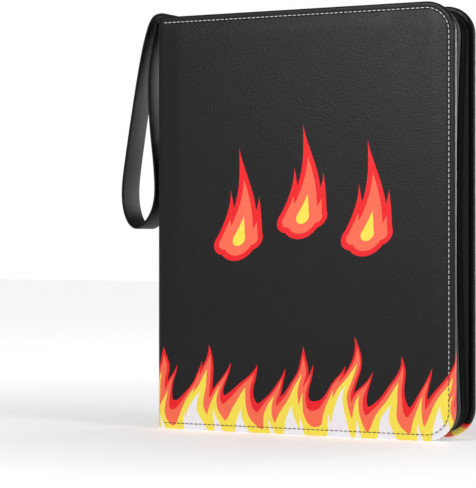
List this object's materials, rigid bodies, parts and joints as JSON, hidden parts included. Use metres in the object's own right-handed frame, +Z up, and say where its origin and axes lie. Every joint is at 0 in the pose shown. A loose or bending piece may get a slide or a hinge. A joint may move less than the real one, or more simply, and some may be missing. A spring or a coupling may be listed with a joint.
{
  "type": "trading card binder",
  "caption": "Zip-up card binder of padded imitation leather that stands closed, with ring mechanism, pocket pages, zip with slider and pull, and a hanging hand strap.",
  "frame": {"origin": "middle of the closed case's footprint, on the surface it stands on, without the hanging strap", "axes": "+X from the spine to the free edge of the covers, +Y from the front cover to the back cover, +Z up"},
  "size_m": [0.315, 0.046, 0.3501],
  "materials": {
    "cover_leather": "satin",
    "gusset_leather": "satin",
    "strap_leather": "satin",
    "lining": "matte",
    "padding": "matte",
    "grey_board": "matte",
    "zip_tape": "matte",
    "zip_teeth": "satin",
    "slider_metal": "gloss",
    "ring_steel": "polished",
    "page_film": "satin",
    "thread": "matte",
    "print_red": "satin",
    "print_salmon": "satin",
    "print_yellow": "satin",
    "print_white": "satin"
  },
  "bodies": {
    "spine": {"spine_skin": "cover_leather", "spine_foam": "padding", "spine_board": "grey_board", "spine_rim_binding": "cover_leather", "spine_lining": "lining", "front_fold": "cover_leather", "back_fold": "cover_leather", "ring_plate": "ring_steel", "ring_rivets": "ring_steel", "top_lever_pin": "ring_steel", "bottom_lever_pin": "ring_steel", "top_zip_end_tape": "zip_tape", "top_zip_end_teeth": "zip_teeth", "top_zip_stop": "slider_metal", "bottom_zip_end_tape": "zip_tape", "bottom_zip_end_teeth": "zip_teeth", "bottom_zip_stop": "slider_metal", "strap_tab": "strap_leather"},
    "front_cover": {"front_skin": "cover_leather", "front_foam": "padding", "front_board": "grey_board", "front_rim_binding": "cover_leather", "front_lining": "lining", "front_gusset": "gusset_leather", "front_zip_tape": "zip_tape", "front_zip_teeth": "zip_teeth"},
    "back_cover": {"back_skin": "cover_leather", "back_foam": "padding", "back_board": "grey_board", "back_rim_binding": "cover_leather", "back_lining": "lining", "back_gusset": "gusset_leather", "back_zip_tape": "zip_tape", "back_zip_teeth": "zip_teeth"},
    "front_pages": {"page_01": "page_film", "page_02": "page_film", "page_03": "page_film", "page_04": "page_film", "page_05": "page_film", "page_06": "page_film"},
    "back_pages": {"page_07": "page_film", "page_08": "page_film", "page_09": "page_film", "page_10": "page_film", "page_11": "page_film", "page_12": "page_film"},
    "front_rings": {"front_ring_blade": "ring_steel", "front_half_ring_top": "ring_steel", "front_half_ring_middle": "ring_steel", "front_half_ring_bottom": "ring_steel"},
    "back_rings": {"back_ring_blade": "ring_steel", "back_half_ring_top": "ring_steel", "back_half_ring_middle": "ring_steel", "back_half_ring_bottom": "ring_steel"},
    "top_lever": {"top_lever": "ring_steel"},
    "bottom_lever": {"bottom_lever": "ring_steel"},
    "zip_slider": {"zip_slider": "slider_metal"},
    "zip_pull": {"zip_pull_link": "slider_metal", "zip_pull_tab": "strap_leather"},
    "strap": {"strap_loop": "strap_leather"}
  },
  "joints": [
    {"name": "front_cover_hinge", "type": "hinge", "parent": "spine", "child": "front_cover", "pos_m": [-0.136, -0.023, 0.174], "axis": [0, 0, -1], "range_deg": [0, 90]},
    {"name": "back_cover_hinge", "type": "hinge", "parent": "spine", "child": "back_cover", "pos_m": [-0.136, 0.023, 0.174], "axis": [0, 0, 1], "range_deg": [0, 90]},
    {"name": "front_page_turn", "type": "hinge", "parent": "spine", "child": "front_pages", "pos_m": [-0.117, 0, 0.174], "axis": [0, 0, -1], "range_deg": [0, 90]},
    {"name": "back_page_turn", "type": "hinge", "parent": "spine", "child": "back_pages", "pos_m": [-0.117, 0, 0.174], "axis": [0, 0, 1], "range_deg": [0, 90]},
    {"name": "front_ring_opening", "type": "hinge", "parent": "spine", "child": "front_rings", "pos_m": [-0.12985, -0.0106, 0.174], "axis": [0, 0, -1], "range_deg": [0, 8]},
    {"name": "back_ring_opening", "type": "hinge", "parent": "spine", "child": "back_rings", "pos_m": [-0.12985, 0.0106, 0.174], "axis": [0, 0, 1], "range_deg": [0, 8]},
    {"name": "top_lever_hinge", "type": "hinge", "parent": "spine", "child": "top_lever", "pos_m": [-0.1286, 0, 0.3275], "axis": [0, -1, 0], "range_deg": [0, 32]},
    {"name": "bottom_lever_hinge", "type": "hinge", "parent": "spine", "child": "bottom_lever", "pos_m": [-0.1286, 0, 0.0205], "axis": [0, 1, 0], "range_deg": [0, 32]},
    {"name": "zip_slide", "type": "slide", "parent": "spine", "child": "zip_slider", "axis": [1, 0, 0], "range_m": [0, 0.22]},
    {"name": "pull_hinge", "type": "hinge", "parent": "zip_slider", "child": "zip_pull", "pos_m": [-0.119, 0, 0.3466], "axis": [0, -1, 0], "range_deg": [0, 120]},
    {"name": "strap_hinge", "type": "hinge", "parent": "spine", "child": "strap", "pos_m": [-0.1394, 0, 0.349], "axis": [0, 1, 0], "range_deg": [0, 140]}
  ],
  "couplings": [
    {"joint": "front_page_turn", "follows": "front_cover_hinge", "ratio": 1},
    {"joint": "back_page_turn", "follows": "back_cover_hinge", "ratio": 1},
    {"joint": "back_ring_opening", "follows": "front_ring_opening", "ratio": 1},
    {"joint": "top_lever_hinge", "follows": "front_ring_opening", "ratio": 4},
    {"joint": "bottom_lever_hinge", "follows": "front_ring_opening", "ratio": 4}
  ]
}
